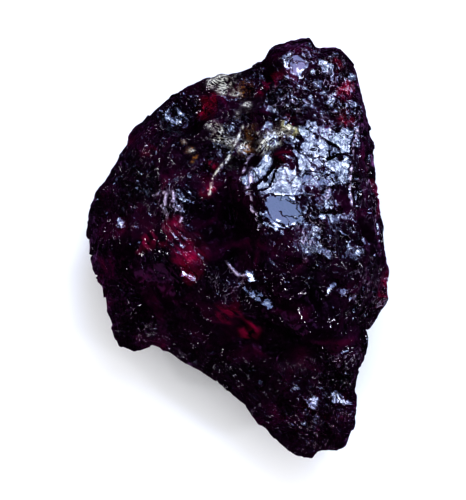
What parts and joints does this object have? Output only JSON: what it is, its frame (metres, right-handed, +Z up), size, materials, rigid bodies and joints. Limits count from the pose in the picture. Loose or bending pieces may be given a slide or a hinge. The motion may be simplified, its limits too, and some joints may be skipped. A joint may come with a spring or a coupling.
{
  "type": "garnet crystal",
  "caption": "Rough broken garnet crystal: a dark purplish-red wedge-shaped chunk with glassy fractured faces and a narrow tail, lying on its flattest break.",
  "frame": {"origin": "middle of the stone's plan box, on the surface that it rests on", "axes": "+Z up out of the resting face, +Y along the length from the narrow tail to the broad crown, +X towards the steep right wall"},
  "size_m": [0.0344, 0.0476, 0.0207],
  "materials": {
    "garnet": "polished"
  },
  "bodies": {
    "root": {"garnet_crystal": "garnet"}
  },
  "joints": []
}
